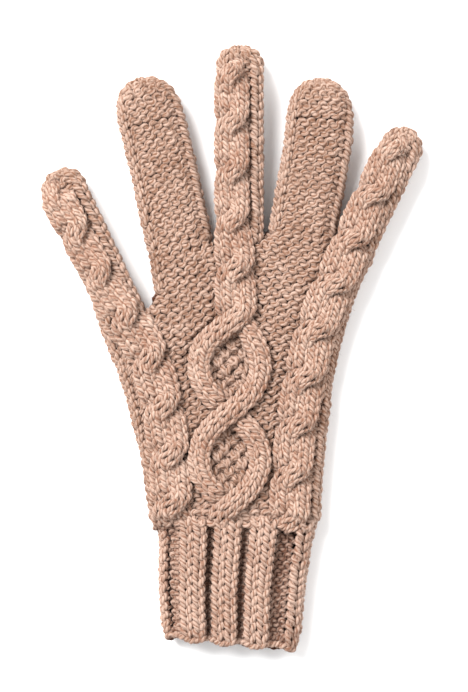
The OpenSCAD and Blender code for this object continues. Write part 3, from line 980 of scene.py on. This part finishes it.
def paper(name, grey):
    """Matt and pale, with a faint mottle."""
    shader = Shader(name)
    mottle = shader.ramp(shader.noise(Scale=40), (0, [grey * 0.99] * 3), (1, [grey] * 3))
    return shader.finish(Base_Color=mottle, Roughness=0.95)


GROUND = (0.187, 0.092, 0.055), (0.435, 0.305, 0.243)  # dark and light fibres
ground_wool = wool("ground_wool", *GROUND)
palm_wool = wool("palm_wool", *GROUND)
cable_wool = wool("cable_wool", (0.221, 0.108, 0.068), (0.475, 0.34, 0.271))
rib_wool = wool("rib_wool", (0.202, 0.098, 0.061), (0.449, 0.315, 0.25))

# ------------ making the pieces
ZONE = 11.0  # half the length of the stretch round each of a digit's joints
SHORT_CUFF = 17  # the cuff's lowest piece ends here
WRIST_PIECE = 18  # length of the cuff's top piece
MOSS_STITCH, MOSS_ROW = 3.5, 3.2
MOSS_HALF = 15  # half the length of a moss stitch panel


def add_fuzz(mesh, rows):
    """Fine loose fibres that stand off the yarn."""
    for row in rows:
        for _ in range(rng.poisson(len(row.line) / SAMPLES * FUZZ)):
            i = rng.integers(len(row.line) - 1)
            up = row.up[i]
            ahead = row.line[i + 1] - row.line[i]
            ahead /= max(np.linalg.norm(ahead), TINY)
            across = np.cross(ahead, up)
            a = rng.uniform(0, 2 * math.pi)
            flat = ahead * math.cos(a) + across * math.sin(a)
            bend = rng.uniform(-1.6, 1.6) * np.cross(flat, up)
            reach = rng.uniform(0.9, 2.8)
            t = np.linspace(0, 1, 6)[:, None]
            rise = rng.uniform(0.15, 0.75)
            line = row.line[i] + up * YARN * 0.8 + reach * (
                flat * t + bend * t ** 2 * 0.5 + up * (rise * t - 0.45 * rise * t ** 2))
            line[:, 2] = np.maximum(line[:, 2], REST_Z - YARN)
            # loose fibres are given no painted shade
            mesh.tube(line, up, deep=1.5, radius=FIBRE, sides=3)


def knit(name, rows, material, slot):
    """One piece from rows of yarn, or None where there are no rows."""
    mesh = Mesh()
    for row in rows:
        mesh.tube(row.line, row.up, row.tone, row.closed, row.deep)
    add_fuzz(mesh, rows)
    return mesh.build(name, material, slot)


def on_hand(piece, node):
    """A piece that moves with the hand and stands for one of its CAD nodes."""
    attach(piece, "hand")
    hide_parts(node)


def on_strip(strip, t):
    """A point of the strip's middle line, in metres, at the height of its hinges."""
    x, y = strip.path.point(np.array([t]))[0]
    return (x * MM, y * MM, strip.knuckle[2] * MM)


def bend_zone(strip):
    """Half the length of the stretch round a joint, which leaves room between the digit's two joints."""
    return min(ZONE, (strip.bend_t - strip.knuckle_t) / 2 - 0.3)


def knit_digit(strip, rows, name, material, slot):
    """Rows of a digit as two pieces, split halfway between the knuckle and the middle joint."""
    middle = (strip.knuckle_t + strip.bend_t) / 2
    zone = bend_zone(strip)
    lower = knit(f"{strip.name}_{name}_lower", [r for r in rows if r.at < middle], material, slot)
    on_strip(strip, strip.knuckle_t - zone)
    on_strip(strip, strip.knuckle_t + zone)
    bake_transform(lower)
    upper = knit(f"{strip.name}_{name}_upper", [r for r in rows if r.at >= middle], material, slot)
    on_strip(strip, strip.bend_t - zone)
    on_strip(strip, strip.bend_t + zone)
    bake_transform(upper)
    return lower, upper


def make_digit(strip):
    """The knitting of a digit, right round it."""
    lower, upper = knit_digit(strip, digit_rows(strip), "knit", ground_wool, "ground_yarn")
    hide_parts(f"{strip.name}_base_back", f"{strip.name}_base_palm")
    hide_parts(f"{strip.name}_tip_back", f"{strip.name}_tip_palm")


def make_hand(strip):
    """The part of the hand below one digit. The middle strip's back is all under cables."""
    on_back, on_palm = hand_rows(strip)
    for rows, node, material, slot in ((on_back, "hand_back", ground_wool, "ground_yarn"),
                                       (on_palm, "hand_palm", palm_wool, "palm_yarn")):
        piece = knit(f"{node}_{strip.name}", rows, material, slot)
        if piece:
            on_hand(piece, node)


def make_cable(strip, path, first, start):
    """A rope cable over the hand and along its digit. It crosses at first, and starts at start."""
    name = strip.name
    offset = path.nearest(strip.knuckle[:2]) - strip.knuckle_t
    end = path.nearest(strip.path.point(np.array([strip.tip_t - CABLE_END]))[0])
    change = strip.root_t + offset

    def along(on_hand, on_digit, taper=0.0):
        """A measure that changes from the hand to the digit and tapers to the tip."""
        return lambda v: ((on_hand + (on_digit - on_hand) * smooth(v, change - 14, change + 12))
                          * (1 - taper * smooth(v, end - 7, end + 1)))
    rows = cable_rows(path, first, start, end, along(*CABLE_PITCH[name], CABLE_TAPER),
                      along(0, CABLE_SHIFT[name]), along(*CROWN), fade_in=strip is not MIDDLE)
    hand_end = strip.knuckle_t - bend_zone(strip) + offset
    piece = knit(f"{name}_cable_over_hand", [r for r in rows if r.at < hand_end], cable_wool, "cable_yarn")
    on_hand(piece, f"{name}_cable_hand")
    on_digit = [r._replace(at=r.at - offset) for r in rows if r.at >= hand_end]
    lower, upper = knit_digit(strip, on_digit, "cable", cable_wool, "cable_yarn")
    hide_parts(f"{name}_cable_base")
    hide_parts(f"{name}_cable_tip")


def make_diamond_strand(name, side, over_at_middle):
    """One of the two strands that cross each other round the diamonds."""
    curve = diamond_curve(side, over_at_middle)
    rows = strand_rows(curve, DIAMOND_LOW - 4, DIAMOND_TOP - 1.5, DIAMOND_ROW, lambda v: DIAMOND_PITCH,
                       DIAMOND_ROUND)
    on_hand(knit("knit_" + name, rows, cable_wool, "cable_yarn"), name)


def make_moss_panel(name, middle_y):
    """Moss stitch inside a diamond: knit and purl stitches alternate both ways."""
    mesh = Mesh()
    y = middle_y - MOSS_HALF
    k = 0
    while y < middle_y + MOSS_HALF:
        n = max(2, int(2 * (abs(float(sway(y))) - 1) / MOSS_STITCH))
        s = np.arange(n * SAMPLES + 1) / SAMPLES
        signs = np.where((np.arange(n) + n // 2 + k) % 2, 1.0, -1.0)
        side, high, out = loop_wave(s, spread(signs, s))
        out = out + spread(rng.normal(0, 0.25, n), s)
        x = DIAMOND_X + (side - n / 2 + spread(rng.normal(0, 0.1, n), s)) * MOSS_STITCH
        z = THICK - SKIN - 0.9 + 1.5 * out
        up = np.tile([0, 0, 1.0], (len(s), 1))
        line = ends_down(np.stack([x, y + high * MOSS_ROW, z], -1), up, s, n, 1.2)
        # the moss's swing through its layer sets its painted shade, a little darker overall
        mesh.tube(line, up, spread(rng.normal(0, 1, n), s), deep=out - 0.35)
        y += MOSS_ROW
        k += 1
    on_hand(mesh.build("knit_" + name, ground_wool, "ground_yarn"), name)


def make_cuff():
    """The cuff as two pieces that ride on its body, and one more at the wrist."""
    cuff = Cuff()
    rows = edge_rows(cuff) + cuff_rows(cuff) + welt_rows(cuff)
    top = cuff.path.length

    def part(name, start, stop):
        return knit(name, [r for r in rows if start <= r.at < stop], rib_wool, "rib_yarn")
    lower = part("knit_cuff", 0, SHORT_CUFF)
    upper = part("knit_cuff_upper", SHORT_CUFF, top - WRIST_PIECE)
    wrist = part("knit_wrist", top - WRIST_PIECE, top)
    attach(lower, "cuff")
    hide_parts("cuff_ribbing", "cast_on_edge")
    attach(upper, "cuff")
    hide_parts("cuff_ribbing")
    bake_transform(wrist)
    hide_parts("wrist_welt")


for strip in STRIPS:
    make_digit(strip)
for strip in STRIPS:
    make_hand(strip)
for strip, path, stops in ((THUMB, thumb_cable, THUMB_CABLE), (MIDDLE, middle_cable, MIDDLE_CABLE),
                           (LITTLE, little_cable, LITTLE_CABLE)):
    if strip is MIDDLE:  # it comes out of the diamonds, and the other two out of the wrist welt
        first = start = path.nearest(stops[0][:2])
    else:
        first = path.nearest(stops[1][:2])
        start = path.nearest((path.x_at(CABLE_LOW_Y), CABLE_LOW_Y))
    make_cable(strip, path, first, start)
make_diamond_strand("diamond_strand_a", 1, over_at_middle=True)
make_diamond_strand("diamond_strand_b", -1, over_at_middle=False)
make_moss_panel("moss_panel_upper", DIAMOND_MID + DIAMOND_HALF / 2)
make_moss_panel("moss_panel_lower", DIAMOND_MID - DIAMOND_HALF / 2)
make_cuff()

# ------------ floor, light and camera
FLOOR_HALF, FLOOR_Z = 10.0, -0.0006  # in metres, like all that follows
CAMERA_HEIGHT = 1.25
TOP_OF_GLOVE = 0.012  # height that the framing is measured at
FRAME_TALL = 0.2768
FRAME_Y = 0.0276  # where the picture's middle is
SENSOR = 36
AIM = (0, 0.03, 0)


def make_floor():
    """A plain square, wide enough that no view shows its edge."""
    mesh = bpy.data.meshes.new("floor")
    corners = [(x * FLOOR_HALF, y * FLOOR_HALF, FLOOR_Z) for x, y in ((-1, -1), (1, -1), (1, 1), (-1, 1))]
    mesh.from_pydata(corners, [], [(0, 1, 2, 3)])
    floor = bpy.data.objects.new("floor", mesh)
    bpy.context.scene.collection.objects.link(floor)
    mesh.materials.append(paper("pale_floor", 0.96))


def make_world(strength):
    """Even white light from all round."""
    world = bpy.data.worlds.new("studio")
    bpy.context.scene.world = world
    world.use_nodes = True
    background = world.node_tree.nodes["Background"]
    background.inputs["Color"].default_value = (1, 1, 1, 1)
    background.inputs["Strength"].default_value = strength


def area_light(name, place, width, power):
    """A square lamp that faces the glove."""
    data = bpy.data.lights.new(name, "AREA")
    data.size = width
    data.energy = power
    lamp = bpy.data.objects.new(name, data)
    lamp.location = place
    lamp.rotation_euler = (Vector(AIM) - Vector(place)).to_track_quat("-Z", "Y").to_euler()
    bpy.context.scene.collection.objects.link(lamp)


def make_camera():
    """Straight above, looking down."""
    data = bpy.data.cameras.new("camera")
    data.sensor_width = SENSOR
    data.lens = SENSOR * (CAMERA_HEIGHT - TOP_OF_GLOVE) / FRAME_TALL
    data.clip_start = 0.01
    camera = bpy.data.objects.new("camera", data)
    camera.location = (0, FRAME_Y, CAMERA_HEIGHT)
    bpy.context.scene.collection.objects.link(camera)
    bpy.context.scene.camera = camera


make_floor()
make_world(0.78)
area_light("key", (-1.6, 1.6, 2.3), 1.7, 212)
area_light("fill", (2.2, 0.2, 2.0), 2.2, 38)
bpy.context.scene.view_settings.view_transform = "Standard"
make_camera()
